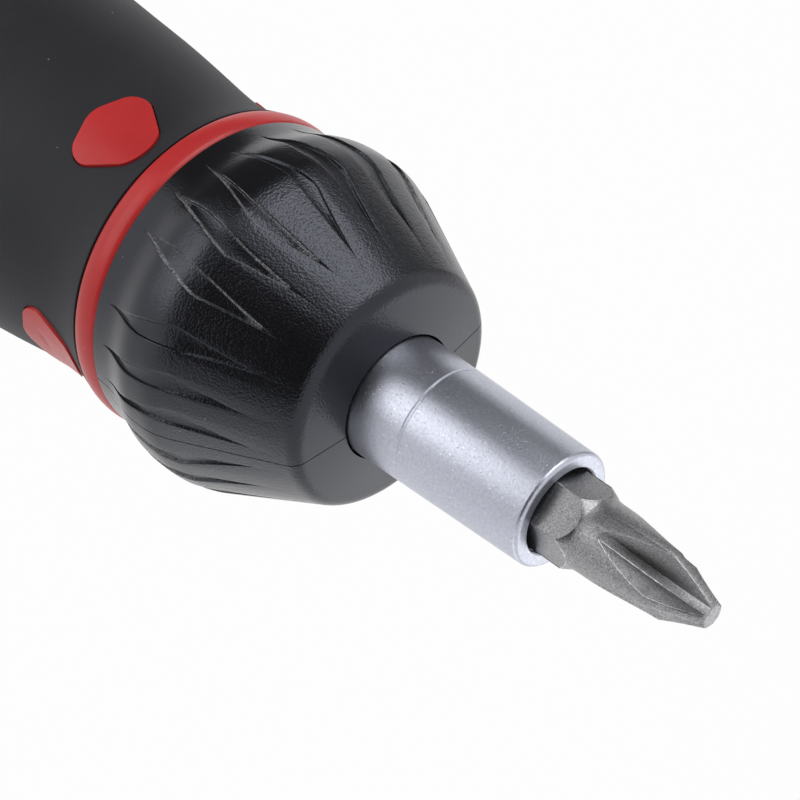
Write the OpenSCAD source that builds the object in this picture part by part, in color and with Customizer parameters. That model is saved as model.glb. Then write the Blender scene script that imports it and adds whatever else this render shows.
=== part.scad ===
// Ratcheting screwdriver with a selector collar and a quarter inch bit socket.
// Millimetres. The tool stands on its butt, the bit points along +Z, and the
// axis of the tool is the Z axis. Angles round the tool start at -Y and turn
// towards +X.

/* [Handle] */
// Length from the butt to the back of the red ring
handle_len = 104; // [90:1:125]
// Width of the red ring
ring_w = 2.5; // [1.8:0.1:4]
// Height of the rounded bead on the ring
ring_bead = 0.25; // [0.05:0.05:0.5]
// How far the ring stands out past the back of the collar
ring_step = 0.15; // [0.05:0.05:0.6]
// Thickness of the soft grip
grip_t = 2.2; // [1.4:0.1:3]
// How far the grip lies under the ring where they meet
grip_sink = 0.3; // [0.1:0.05:0.6]
// How far the waist is drawn in under the ring
waist_in = 1.0; // [0.4:0.1:1.6]
// Distance from the ring back to the waist
waist_back = 5.5; // [4:0.5:9]
// How far the belly swells past the ring
belly_out = 2.3; // [1:0.1:3.5]
// Height of the belly over the butt
belly_z = 60; // [52:1:66]
// How far the rear bulb swells past the ring
bulb_out = 1.3; // [0.2:0.1:2.5]
// Height of the rear bulb over the butt
bulb_z = 13; // [11:0.5:16]
// How far the hollow between bulb and belly swells past the ring
saddle_out = 0.5; // [0.1:0.1:1]
// Height of that hollow over the butt
saddle_z = 27; // [23:1:32]
// Depth of the four long flats on the belly
flat_depth = 0.9; // [0.3:0.1:1.4]
// Visible height of the hard end cap
cap_h = 3.4; // [2.5:0.1:5]
// Radius of the flat that the tool stands on
foot_r = 10.5; // [8:0.5:12]
// Radius of the moulded hollow in the handle
hollow_r = 8.5; // [6:0.5:9]
// Depth of the end cap's plug in that hollow
plug_len = 6; // [3:0.5:10]
// Thickness of hard plastic between the hollow and the ratchet seat
web_t = 8; // [4:0.5:14]

/* [Pads] */
// How far the red pads stand proud of the grip
pad_proud = 0.2; // [0.1:0.05:0.8]
// Number of pads
pad_count = 4; // [2:1:4]
// Angle of the first pad
pad_turn = -19.7; // [-45:0.1:45]
// Gap from the ring to the nose of a pad
pad_gap = 1.65; // [0.8:0.05:2.5]
// Radius of a pad's nose
pad_nose_r = 2.6; // [2:0.1:3]
// Radius of a pad's rear corners
pad_corner_r = 1.75; // [1:0.05:2.2]
// Half the distance between the centres of the rear corners
pad_corner_x = 2.25; // [1.8:0.05:2.6]
// Distance from the nose back to the centres of the rear corners
pad_corner_back = 4.9; // [4.2:0.1:6]
// Radius of the bulge of a pad's rear edge
pad_tail_r = 2.9; // [2.5:0.1:3.4]
// Distance from the nose back to the centre of that bulge
pad_tail_back = 4.45; // [4:0.05:5]

/* [Collar] */
// Wall of the collar at its back edge
collar_wall = 2.1; // [1.6:0.1:3]
// Length of the collar
collar_len = 20.6; // [20:0.2:24]
// Gap between the ring and the collar
collar_gap = 0.15; // [0.1:0.05:0.4]
// How far the crown of the collar stands out past its back edge
crown_out = 1.1; // [0.4:0.1:2]
// Distance from the collar's back edge to its crown
crown_z = 6.6; // [5:0.2:8]
// Drop from the crown to the shoulder where the taper starts
shoulder_drop = 0.65; // [0.3:0.05:1]
// Distance from the crown to the shoulder
shoulder_z = 3.25; // [2.6:0.05:4]
// Radius of the front rim
rim_r = 10.85; // [10.3:0.05:12]
// Rounding of the front rim
rim_round = 0.8; // [0.4:0.1:1]
// Rise of the front face from the rim to the hole
face_rise = 0.45; // [0.2:0.05:0.9]
// Running gap round the sleeve in the collar's nose
nose_gap = 0.2; // [0.1:0.05:0.5]
// Free length in the collar between the washer on the hub and the nose wall
nose_room = 0.7; // [0.3:0.1:1.5]
// Depth of the leaf cuts in the collar
leaf_depth = 0.4; // [0.2:0.05:0.7]
// Turn of the selector to each side
selector_turn = 18; // [10:1:18]

/* [Ratchet] */
// Tip radius of the ratchet wheel; pawls, cam and drum are laid out round it
gear_r = 6.1; // [5.8:0.05:6.6]
// Depth of its teeth
tooth_depth = 0.9; // [0.6:0.05:1]
// Thickness of the wheel
gear_t = 5.2; // [4:0.1:5.4]
// Number of teeth, a multiple of 12
teeth = 24; // [24:12:24]
// Thickness of the steel washers
washer_t = 0.6; // [0.4:0.05:0.8]
// Radius of the spindle's shank
shank_r = 4; // [3.6:0.1:4.1]
// Radial running clearance of the shank, collar and drum
fit = 0.05; // [0.02:0.01:0.09]
// Wall of the bronze bushes
bush_wall = 0.95; // [0.6:0.05:1.1]
// Length of the rear bush
bush_len = 10; // [6:0.5:12]
// Length of the housing's stub in the handle
stub_len = 20; // [18:0.5:24]
// Width across the flats of that stub
stub_af = 15; // [14.4:0.1:15.6]
// Thickness of the bearing land behind the pawls
land_t = 3.1; // [2.6:0.1:3.4]
// Thickness of the cover plate
cover_t = 2; // [1.8:0.1:2.4]
// Length of the cover's hub in front of the plate
hub_len = 3.5; // [2.6:0.1:3.8]
// Turn of each pawl to each side of its middle
pawl_turn = 5; // [3:0.5:5]
// Radius of the pawl pins
pawl_pin_r = 0.8; // [0.6:0.05:0.9]
// Radius of the detent ball
ball_r = 1; // [0.8:0.05:1.1]
// Depth of the detent notches
notch_depth = 0.45; // [0.3:0.05:0.55]
// Wire of the ring that holds the collar on
snap_wire = 0.9; // [0.6:0.05:1]
// Radius of the two pins that hold the housing in the handle
lock_pin_r = 1.25; // [0.8:0.05:1.5]
// Thread radius of the three cover screws
screw_r = 1; // [0.7:0.05:1.1]
// Head radius of the cover screws
screw_head_r = 1.6; // [1.3:0.05:1.7]

/* [Bit holder] */
// Length of the bare sleeve in front of the collar
sleeve_len = 18.17; // [14:0.5:24]
// Radius of the sleeve at the collar
sleeve_back_r = 5.55; // [5.2:0.05:5.9]
// Radius of the sleeve behind its mouth
sleeve_front_r = 5.1; // [4.8:0.05:5.4]
// Distance from the collar's nose to the turned groove
groove_z = 5.3; // [3:0.1:9]
// Width of that groove
groove_w = 0.5; // [0.2:0.05:1]
// Depth of that groove
groove_depth = 0.18; // [0.05:0.01:0.3]
// Rounding of the sleeve's mouth
mouth_round = 0.55; // [0.2:0.05:0.6]
// Depth of the round recess at the mouth
mouth_depth = 1.7; // [1.4:0.1:2.5]
// Depth of the hex socket under the mouth
socket_depth = 10.1; // [8:0.1:12]
// Width across the flats of the bit's hex
bit_af = 6.35; // [5.8:0.05:6.4]
// Clearance across the flats of the socket
hex_clear = 0.1; // [0.04:0.02:0.3]
// Wire of the clip in the mouth
clip_wire = 0.4; // [0.3:0.05:0.5]
// Radius of the magnet under the bit
magnet_r = 2.4; // [1.5:0.1:2.7]
// Thickness of the magnet
magnet_t = 2.2; // [1:0.1:3]

/* [Bit] */
// Length of the bit
bit_len = 25; // [23:0.5:28]
// How far the hex reaches out of the mouth at its corners
hex_out = 2.45; // [1:0.05:4]
// Length of the chamfer from the hex corners to the flats
hex_chamfer = 0.85; // [0.4:0.05:1.2]
// Length of the hollow curve from the chamfer to the neck
neck_blend = 0.95; // [0.5:0.05:1.5]
// Radius of the neck
neck_r = 3.1; // [2.7:0.05:3.15]
// Radius where the tip cone starts
blade_r = 3.04; // [2.6:0.02:3.1]
// Length of the tip cone
tip_len = 4.1; // [2.8:0.1:5]
// Radius of the blunt tip
tip_r = 1.05; // [0.8:0.05:1.3]
// Rounding of the blunt tip
tip_round = 0.3; // [0.1:0.05:0.4]
// Radius of the wheel that grinds the flutes
flute_wheel_r = 21; // [16:0.5:26]
// Least distance of the flute floor from the axis
flute_core = 0.9; // [0.6:0.02:1]
// Distance from the tip back to where the flutes are deepest
flute_low = 0.5; // [0:0.1:3]
// Half the width of the flute floor
flute_floor = 0.38; // [0.2:0.02:0.5]
// Half the angle between the walls of a flute
flute_angle = 48; // [40:0.5:52]
// Turn of the hex in the socket
hex_turn = 4; // [-30:1:30]
// Turn of the flutes against the hex
flute_turn = -8; // [-30:1:30]

/* [Hidden] */

$fn = 96;
fine_fn = 48;
over = 1;                             // one overrun for every cut
ring_front_z = handle_len + ring_w;
collar_z = ring_front_z + collar_gap;
collar_front_z = collar_z + collar_len;
mouth_z = collar_front_z + sleeve_len;

// Radii are built outwards from the ratchet wheel
neck_share = 1.689;                   // drum neck radius, of gear_r
cam_share = 2.09;                     // outer radius of the cam ring, of gear_r
drum_r = gear_r * neck_share;
land_r = gear_r * cam_share;
collar_bore_r = land_r + fit;
collar_back_r = collar_bore_r + collar_wall;
crown_r = collar_back_r + crown_out;
ring_r = collar_back_r + ring_step;
waist_r = ring_r - waist_in;
belly_r = ring_r + belly_out;

// Heights of the mechanism, from the ring forwards
land_z = ring_front_z;
neck_z = land_z + land_t;
floor_gap = 0.1 * washer_t;
cavity_z = neck_z + washer_t;
washer_z = cavity_z;
gear_z = washer_z + washer_t + floor_gap;
cover_z = gear_z + gear_t + floor_gap;
hub_z = cover_z + cover_t;
front_washer_z = hub_z + hub_len + floor_gap;
sleeve_z = front_washer_z + washer_t + floor_gap;
stub_z = handle_len - stub_len;
rear_well_depth = 5.6 * washer_t;
rear_bush_z = stub_z + rear_well_depth;
rear_washer_z = rear_bush_z - floor_gap - washer_t;
circlip_z = rear_washer_z - floor_gap - washer_t;
shank_z = circlip_z - 2 * washer_t;
bush_r = shank_r + fit + bush_wall;
circlip_r = shank_r + 2.6 * washer_t;

// The bit
hex_r = bit_af / sqrt(3);
socket_af = bit_af + hex_clear;
socket_r = socket_af / sqrt(3);
mouth_r = socket_r + hex_clear;
socket_z = mouth_z - socket_depth;
bit_z = socket_z + hex_clear;
bit_tip_z = bit_z + bit_len;
hex_end_z = mouth_z + hex_out;
clip_z = mouth_z - mouth_depth / 2;
clip_r = mouth_r + clip_wire / 2;

// A smooth line through the points p, n steps a stretch
function spline_at(a, b, c, d, t) = 0.5 * (2 * b + (c - a) * t
    + (2 * a - 5 * b + 4 * c - d) * t * t
    + (3 * b - a - 3 * c + d) * t * t * t);
function spline(p, n) = concat(
    [for (i = [0 : len(p) - 2]) for (k = [0 : n - 1])
        spline_at(p[max(i - 1, 0)], p[i], p[i + 1], p[min(i + 2, len(p) - 1)], k / n)],
    [p[len(p) - 1]]);
function arc_points(c, r, a0, a1, n) =
    [for (k = [0 : n]) c + r * [cos(a0 + (a1 - a0) * k / n), sin(a0 + (a1 - a0) * k / n)]];
// Angle at which a common tangent touches circles a and b, each [x, y, r], on
// the side given by way, 1 or -1
function tangent(a, b, way) = atan2(b[1] - a[1], b[0] - a[0])
    + way * acos((a[2] - b[2]) / norm([b[0] - a[0], b[1] - a[1]]));
function flipped(p) = [for (q = p) [-q[0], q[1]]];
function by(p, s) = [for (q = p) q * s];

// Outline of the grip as radius and height
grip_top_z = handle_len - collar_gap;
grip_steps = 6;
grip_stations = [
    [ring_r + bulb_out * 0.2, cap_h + collar_gap],
    [ring_r + bulb_out, bulb_z],
    [ring_r + saddle_out, saddle_z],
    [belly_r, belly_z],
    [(belly_r + waist_r) / 2, (belly_z + handle_len - waist_back) / 2 + waist_back],
    [waist_r, handle_len - waist_back],
    [ring_r - grip_sink, grip_top_z]];
grip_line = spline(grip_stations, grip_steps);
grip_table = [for (q = grip_line) [q[1], q[0]]];
function grip_r(z) = lookup(z, grip_table);

// A round solid from a line of [radius, height] points, moved in or out by move
module turned_solid(line, move) {
    last = len(line) - 1;
    rotate_extrude()
        polygon(concat([[0, line[0][1]]],
            [for (q = line) [q[0] + move, q[1]]],
            [[0, line[last][1]]]));
}
module tube(r_out, r_in, z, h) {
    translate([0, 0, z]) difference() {
        cylinder(r = r_out, h = h);
        translate([0, 0, -over]) cylinder(r = r_in, h = h + 2 * over);
    }
}
module hex_rod(af, z, h) {
    translate([0, 0, z]) cylinder(r = af / sqrt(3), h = h, $fn = 6);
}
// Children stand at -Y on the wheel of angles
module at_angle(a) { rotate([0, 0, a]) children(); }
// A flat outline in x and z, pushed out along -Y from the axis
module push_out(points, z, reach) {
    translate([0, 0, z]) rotate([90, 0, 0]) linear_extrude(reach) polygon(points);
}

// Outline of a red pad, nose up, measured from the tip of its nose
pad_nose = [0, -pad_nose_r, pad_nose_r];
pad_corner = [pad_corner_x, -pad_corner_back, pad_corner_r];
pad_tail = [0, -pad_tail_back, pad_tail_r];
pad_steps = 6;
function circle_c(q) = [q[0], q[1]];
nose_normal = tangent(pad_nose, pad_corner, 1);
tail_normal = tangent(pad_tail, pad_corner, -1);
pad_half = concat(
    arc_points(circle_c(pad_tail), pad_tail[2], -90, tail_normal, 2),
    arc_points(circle_c(pad_corner), pad_corner[2], tail_normal, nose_normal, pad_steps),
    arc_points(circle_c(pad_nose), pad_nose[2], nose_normal, 90, pad_steps));
pad_last = len(pad_half) - 1;
pad_outline = concat(pad_half,
    flipped([for (i = [pad_last - 1 : -1 : 1]) pad_half[i]]));
pad_reach = ring_r + belly_out;

module pad_prisms() {
    for (k = [0 : pad_count - 1])
        at_angle(pad_turn + 360 * k / pad_count)
            push_out(pad_outline, handle_len - pad_gap, pad_reach);
}

ring_steps = 6;
ring_line = [for (k = [0 : ring_steps])
    [ring_r - ring_bead * pow(2 * k / ring_steps - 1, 2), handle_len + ring_w * k / ring_steps]];

module handle_core() color([0.78, 0.16, 0.14]) {
    difference() {
        union() {
            turned_solid(grip_line, -grip_t);
            turned_solid(ring_line, 0);
            intersection() {
                turned_solid(grip_line, pad_proud);
                pad_prisms();
            }
            translate([0, 0, handle_len - waist_back])
                cylinder(r = waist_r - 1.5 * grip_t, h = waist_back + ring_w);
            translate([0, 0, grip_top_z])
                cylinder(r = ring_r - grip_t / 3, h = collar_gap + ring_w / 2);
        }
        translate([0, 0, handle_len]) cylinder(r = land_r, h = ring_w + over);
        hex_rod(stub_af, stub_z, stub_len + over);
        cylinder(r = hollow_r, h = stub_z - web_t);
        lock_pins_solid(0);
    }
}

module soft_grip() color([0.17, 0.175, 0.185]) {
    difference() {
        turned_solid(grip_line, 0);
        turned_solid(grip_line, -grip_t);
        pad_prisms();
        for (k = [0 : pad_count - 1]) at_angle(pad_turn + 360 * k / pad_count)
            translate([-belly_r, -belly_r - over, saddle_z])
                cube([2 * belly_r, flat_depth + over, handle_len - saddle_z - 2 * waist_back]);
    }
}

cap_steps = 8;
cap_top_r = grip_r(0) - 0.1 * grip_t;
cap_line = concat(
    [for (k = [0 : cap_steps]) [foot_r + (cap_top_r - foot_r) * sin(90 * k / cap_steps),
        cap_h * (1 - cos(90 * k / cap_steps))]]);
module end_cap() color([0.78, 0.16, 0.14]) {
    turned_solid(cap_line, 0);
    translate([0, 0, cap_h]) cylinder(r = hollow_r, h = plug_len);
}

// Two dowels through the hard core into the stub of the housing
lock_pin_z = handle_len - stub_len / 2;
lock_pin_in = bush_r + 0.6 * bush_wall;
module lock_pins_solid(extra) {
    for (a = [0, 180]) at_angle(a)
        translate([0, -lock_pin_in, lock_pin_z]) rotate([90, 0, 0])
            cylinder(r = lock_pin_r, h = ring_r - waist_in - grip_t - lock_pin_in + extra,
                $fn = fine_fn);
}
module housing_pins() color("silver") lock_pins_solid(-0.2 * grip_t);

// The ratchet. Flat outlines are shares of the wheel's tip radius, and belong to
// the right hand pawl, whose pin is at pin_share and whose tooth meets the wheel
// on the +X side. The left pawl is its mirror image.
pin_share = [1.180, -0.820];
tooth_tip_share = 1 - (tooth_depth - 2 * fit) / gear_r;
pawl_share = [
    [tooth_tip_share, -0.033], [tooth_tip_share, 0.049], [1.033, 0.089], [1.057, 0.262], [1.295, 0.262],
    [1.410, -0.656], [1.402, -0.902], [0.992, -1.574], [0.738, -1.492], [0.960, -0.918],
    [1.041, -0.361], [1.033, -0.156], [1.000, -0.092]];
tail_share = [0.864, -1.541];
tail_r_share = 0.131;
boss_r_share = 0.246;
pocket_share = [
    [0.820, 0.344], [1.549, 0.344], [1.549, -0.525], [1.721, -0.902], [1.148, -1.803],
    [0.574, -1.721], [0.574, -1.377], [0.877, -0.820], [0.738, -0.689]];
spring_share = [
    [1.500, -0.400], [1.541, -0.400], [1.541, 0.344], [1.475, 0.700], [1.434, 0.700],
    [1.500, 0.335]];
slot_share = [[1.549, 0.300], [1.549, 0.344], [1.480, 0.715], [1.425, 0.715], [1.493, 0.300]];
pin_at = pin_share * gear_r;
pawl_gap = 0.4 * washer_t;
pawl_h = gear_t - pawl_gap;

// The cam: its inside radius falls by cam_slope_share for each degree between
// the high stretch and the low stretch
cam_high_share = 1.797;
cam_low_share = 1.912;
cam_start = 8.7;
cam_end = 47.3;
detent_land_share = 1.803;
detent_span = 38;
detent_fade = 12;
cam_step = 3;
function cam_r(d) = gear_r * (d < cam_start ? cam_high_share
    : d < cam_end ? cam_high_share
        + (cam_low_share - cam_high_share) * (d - cam_start) / (cam_end - cam_start)
    : d < 180 - detent_span - detent_fade ? cam_low_share
    : d < 180 - detent_span ? cam_low_share + (detent_land_share - cam_low_share)
        * (d - 180 + detent_span + detent_fade) / detent_fade
    : detent_land_share);
cam_line = [for (a = [0 : cam_step : 360 - cam_step])
    cam_r(a > 180 ? 360 - a : a) * [sin(a), -cos(a)]];

// Tooth gaps of the wheel, half widths as shares of the pitch
gap_root_share = 0.30;
gap_tip_share = 0.39;
pitch = 360 / teeth;
gear_line = [for (k = [0 : teeth - 1]) for (q = [
    [gear_r - tooth_depth, -gap_root_share], [gear_r - tooth_depth, gap_root_share],
    [gear_r, gap_tip_share], [gear_r, 1 - gap_tip_share]])
    q[0] * [cos((k + q[1]) * pitch), sin((k + q[1]) * pitch)]];

// A flat outline on both sides of the YZ plane
module both_sides() {
    children();
    mirror([1, 0, 0]) children();
}
screw_angles = [0, 145, 215];
screw_ring_r = drum_r - screw_head_r - 2 * fit;
detent_r = gear_r * detent_land_share - fit;   // reach of the ball at rest
ball_at = detent_r - ball_r;
ball_z = gear_z + gear_t / 2;
ball_well = gear_r + 1.4 * washer_t;
pin_foot_z = cavity_z - 3 * washer_t;
pin_head_z = cover_z + cover_t / 2;
snap_z = land_z + land_t / 2;

module at_screws() {
    for (a = screw_angles) at_angle(a) translate([0, -screw_ring_r, 0]) children();
}
module detent_bore(r, from, to) {
    translate([0, from, ball_z]) rotate([-90, 0, 0])
        cylinder(r = r, h = to - from, $fn = fine_fn);
}

module ratchet_housing() color([0.55, 0.56, 0.58]) {
    difference() {
        union() {
            hex_rod(stub_af, stub_z, stub_len);
            translate([0, 0, handle_len]) cylinder(r = land_r, h = ring_w + land_t);
            translate([0, 0, neck_z]) cylinder(r = drum_r, h = cover_z - neck_z);
        }
        translate([0, 0, rear_bush_z]) cylinder(r = bush_r, h = bush_len);
        translate([0, 0, stub_z - over])
            cylinder(r = circlip_r + washer_t, h = rear_well_depth + over);
        cylinder(r = shank_r + 2 * fit, h = cover_z);
        translate([0, 0, cavity_z])
            cylinder(r = gear_r * 1.05, h = cover_z - cavity_z + over);
        translate([0, 0, gear_z - pawl_gap]) linear_extrude(cover_z) both_sides() {
            polygon(by(pocket_share, gear_r));
            polygon(by(slot_share, gear_r));
        }
        translate([0, 0, pin_foot_z]) linear_extrude(cover_z) both_sides()
            translate(pin_at) circle(r = pawl_pin_r, $fn = fine_fn);
        at_screws() translate([0, 0, neck_z]) cylinder(r = screw_r, h = cover_z, $fn = fine_fn);
        tube(land_r + over, land_r - snap_wire * 0.75, snap_z - snap_wire / 2, snap_wire);
        detent_bore(ball_r + fit, ball_well, drum_r + over);
        lock_pins_solid(over);
    }
}

module cover_plate() color([0.6, 0.61, 0.63]) {
    difference() {
        union() {
            translate([0, 0, cover_z]) cylinder(r = drum_r, h = cover_t);
            translate([0, 0, hub_z]) cylinder(r = bush_r + 2 * bush_wall, h = hub_len);
        }
        cylinder(r = bush_r, h = mouth_z);
        linear_extrude(pin_head_z) both_sides()
            translate(pin_at) circle(r = pawl_pin_r, $fn = fine_fn);
        at_screws() {
            cylinder(r = screw_r, h = mouth_z, $fn = fine_fn);
            translate([0, 0, cover_z + cover_t / 2]) cylinder(r = screw_head_r, h = mouth_z,
                $fn = fine_fn);
        }
    }
}

screw_slot_w = 0.5 * screw_r;
screw_head_h = cover_t / 2 - 0.1 * washer_t;
module cover_screws() color([0.35, 0.35, 0.37]) {
    at_screws() difference() {
        union() {
            translate([0, 0, neck_z + washer_t])
                cylinder(r = screw_r, h = cover_z + cover_t / 2 - neck_z - washer_t, $fn = fine_fn);
            translate([0, 0, cover_z + cover_t / 2])
                cylinder(r = screw_head_r, h = screw_head_h, $fn = fine_fn);
        }
        translate([-screw_head_r, -screw_slot_w / 2, cover_z + cover_t * 0.75])
            cube([2 * screw_head_r, screw_slot_w, cover_t]);
    }
}

module rear_bush() color([0.72, 0.53, 0.28])
    tube(bush_r, shank_r + fit, rear_bush_z, bush_len);
module front_bush() color([0.72, 0.53, 0.28])
    tube(bush_r, shank_r + fit, cover_z, cover_t + hub_len);
module rear_washer() color([0.7, 0.7, 0.72])
    tube(circlip_r, shank_r + fit, rear_washer_z, washer_t);
module gear_washer() color([0.7, 0.7, 0.72])
    tube(gear_r, shank_r + fit, washer_z, washer_t);
module front_washer() color([0.7, 0.7, 0.72])
    tube(sleeve_back_r, shank_r + fit, front_washer_z, washer_t);

module pawl_pins() color("silver") both_sides()
    translate([pin_at[0], pin_at[1], pin_foot_z])
        cylinder(r = pawl_pin_r, h = pin_head_z - pin_foot_z, $fn = fine_fn);
module pawl_springs() color([0.3, 0.32, 0.38]) both_sides()
    translate([0, 0, gear_z]) linear_extrude(pawl_h) polygon(by(spring_share, gear_r));

module detent_spring() color([0.5, 0.5, 0.52]) {
    difference() {
        detent_bore(ball_r, ball_well, ball_at - ball_r * 0.8);
        detent_bore(ball_r * 0.65, ball_well - over, ball_at);
    }
}
module detent_ball() color("silver")
    translate([0, ball_at, ball_z]) sphere(r = ball_r, $fn = fine_fn);

// A split round wire ring between the drum's land and the collar
snap_r = land_r - snap_wire * 0.3;
module collar_snap_ring() color([0.4, 0.4, 0.42]) {
    difference() {
        translate([0, 0, snap_z]) rotate_extrude()
            translate([snap_r, 0]) circle(r = snap_wire * 0.45, $fn = 24);
        translate([-snap_wire, -land_r - over, snap_z - snap_wire])
            cube([2 * snap_wire, land_r, 2 * snap_wire]);
    }
}

// The selector collar
function past(z) = collar_z + z;
shoulder_at = [crown_r - shoulder_drop, past(crown_z + shoulder_z)];
face_z = collar_front_z - face_rise;
taper_angle = atan2(shoulder_at[0] - rim_r, face_z - rim_round - shoulder_at[1]);
rim_centre = [rim_r - rim_round, face_z - rim_round];
collar_steps = 4;
collar_outline = concat(
    spline([[collar_back_r, collar_z],
        [collar_back_r + crown_out * 0.2, past(crown_z * 0.35)],
        [crown_r - crown_out * 0.12, past(crown_z * 0.72)],
        [crown_r, past(crown_z)],
        [crown_r - shoulder_drop * 0.2, past(crown_z + shoulder_z * 0.5)],
        shoulder_at], collar_steps),
    arc_points(rim_centre, rim_round, taper_angle, 85, 5));
collar_table = [for (q = collar_outline) [q[1], q[0]]];
hole_r = sleeve_back_r + nose_gap;

// Leaf cuts: each point is degrees from a mirror plane and a share of the length
leaf_share = [
    [[13, 0.07], [5, 0.46], [7.5, 0.80], [12, 0.51], [14, 0.30]],
    [[27.5, 0.07], [20, 0.48], [25, 0.79], [26.5, 0.52], [28.2, 0.37]],
    [[41, 0.07], [32.5, 0.49], [39.5, 0.80], [38.6, 0.55], [38, 0.40]]];
leaf_planes = [15, 105, 195, 285];
function collar_r(z) = lookup(z, collar_table);
function leaf_outline(leaf, middle) = [for (q = leaf)
    [collar_r(past(q[1] * collar_len)) * sin(q[0] - middle), past(q[1] * collar_len)]];
module leaf_prisms() {
    for (plane = leaf_planes) at_angle(plane) both_sides()
        for (leaf = leaf_share) at_angle(leaf[1][0])
            push_out(leaf_outline(leaf, leaf[1][0]), 0, crown_r + over);
}

module selector_collar() color([0.13, 0.13, 0.14]) {
    last = len(collar_outline) - 1;
    difference() {
        rotate_extrude() polygon(concat([[0, collar_z]], collar_outline,
            [[hole_r, collar_front_z], [0, collar_front_z]]));
        intersection() {
            leaf_prisms();
            difference() {
                translate([0, 0, collar_z]) cylinder(r = crown_r + over, h = collar_len);
                rotate_extrude() polygon(concat([[0, collar_z - over]],
                    [[collar_back_r - leaf_depth, collar_z - over]],
                    [for (q = collar_outline) [q[0] - leaf_depth, q[1]]],
                    [[0, collar_outline[last][1] + over]]));
            }
        }
        translate([0, 0, collar_z - over]) cylinder(r = collar_bore_r, h = cover_z - collar_z + over);
        translate([0, 0, cover_z - over]) cylinder(r = drum_r + fit, h = cover_t + over);
        translate([0, 0, hub_z - over])
            cylinder(r = bush_r + 2 * bush_wall + collar_wall / 2,
                h = front_washer_z + washer_t + nose_room - hub_z + over);
        cylinder(r = hole_r, h = mouth_z);
        tube(collar_bore_r + snap_wire * 0.3, collar_bore_r - over, snap_z - snap_wire / 2,
            snap_wire);
        for (a = [90, 270]) at_angle(a) cam_lug(collar_z - over);
    }
}

cam_z = gear_z;
cam_t = gear_t;
lug_w = 0.5 * gear_r;
lug_h = 0.35 * collar_wall;
module cam_lug(from) {
    translate([-lug_w / 2, -collar_bore_r - lug_h, from])
        cube([lug_w, 2 * lug_h, cam_z + cam_t - from]);
}
module cam_ring() color([0.42, 0.43, 0.45]) {
    difference() {
        union() {
            translate([0, 0, cam_z]) cylinder(r = collar_bore_r, h = cam_t);
            for (a = [90, 270]) at_angle(a) cam_lug(cam_z);
        }
        translate([0, 0, cam_z - over]) linear_extrude(cam_t + 2 * over) polygon(cam_line);
        for (a = [-selector_turn, 0, selector_turn]) at_angle(180 + a)
            translate([0, -detent_r + ball_r - notch_depth, cam_z - over])
                cylinder(r = ball_r + 2 * fit, h = cam_t + 2 * over, $fn = fine_fn);
    }
}

// The pawls stand at half depth while the selector is in its middle position
module pawl_rod(at, r, h) {
    translate([at[0], at[1], 0]) cylinder(r = r, h = h, $fn = fine_fn);
}
module pawl_shape() {
    translate([pin_at[0], pin_at[1], gear_z]) rotate([0, 0, -pawl_turn])
        translate([-pin_at[0], -pin_at[1], 0]) difference() {
            union() {
                linear_extrude(pawl_h) polygon(by(pawl_share, gear_r));
                pawl_rod(pin_at, boss_r_share * gear_r, pawl_h);
                pawl_rod(tail_share * gear_r, tail_r_share * gear_r, pawl_h);
            }
            translate([0, 0, -over]) pawl_rod(pin_at, pawl_pin_r + fit, pawl_h + 2 * over);
        }
}
module pawl_right() color([0.5, 0.48, 0.45]) pawl_shape();
module pawl_left() color([0.5, 0.48, 0.45]) mirror([1, 0, 0]) pawl_shape();

// The spindle group
key_w = 0.3 * shank_r;
key_depth = 0.15 * shank_r;
module key_block() {
    translate([-key_w / 2, -shank_r - key_depth, gear_z]) cube([key_w, 2 * key_depth, gear_t]);
}
module ratchet_gear() color([0.62, 0.62, 0.64]) {
    difference() {
        translate([0, 0, gear_z]) linear_extrude(gear_t) polygon(gear_line);
        translate([0, 0, gear_z - over]) cylinder(r = shank_r, h = gear_t + 2 * over);
        key_block();
    }
}
module gear_key() color([0.3, 0.3, 0.32]) key_block();

circlip_groove_r = shank_r - washer_t;
module spindle_circlip() color([0.32, 0.32, 0.34]) {
    difference() {
        tube(circlip_r, circlip_groove_r, circlip_z, washer_t);
        translate([-circlip_groove_r / 2, -circlip_r - over, circlip_z - over])
            cube([circlip_groove_r, circlip_r, washer_t + 2 * over]);
    }
}

sleeve_steps = 5;
mouth_centre = [sleeve_front_r - mouth_round, mouth_z - mouth_round];
module bit_holder() color([0.72, 0.73, 0.76]) {
    groove_at = collar_front_z + groove_z;
    share = groove_z / sleeve_len;
    groove_r = sleeve_back_r + (sleeve_front_r - sleeve_back_r) * share;
    difference() {
        union() {
            translate([0, 0, shank_z]) cylinder(r = shank_r, h = sleeve_z - shank_z);
            rotate_extrude() polygon(concat(
                [[0, sleeve_z], [sleeve_back_r, sleeve_z], [sleeve_back_r, collar_front_z],
                    [groove_r, groove_at - groove_w / 2],
                    [groove_r - groove_depth, groove_at - groove_w / 4],
                    [groove_r - groove_depth, groove_at + groove_w / 4],
                    [groove_r, groove_at + groove_w / 2]],
                arc_points(mouth_centre, mouth_round, 0, 90, sleeve_steps),
                [[0, mouth_z]]));
        }
        at_angle(hex_turn + 30) hex_rod(socket_af, socket_z, socket_depth + over);
        translate([0, 0, mouth_z - mouth_depth]) cylinder(r = mouth_r, h = mouth_depth + over);
        tube(clip_r + clip_wire / 2 + hex_clear / 2, mouth_r - over, clip_z - clip_wire / 2,
            clip_wire);
        translate([0, 0, socket_z - magnet_t])
            cylinder(r = magnet_r, h = magnet_t + over, $fn = fine_fn);
        tube(shank_r + over, circlip_groove_r, circlip_z, washer_t);
        key_block();
    }
}

module socket_magnet() color([0.3, 0.31, 0.33])
    translate([0, 0, socket_z - magnet_t])
        cylinder(r = magnet_r, h = magnet_t, $fn = fine_fn);

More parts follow.
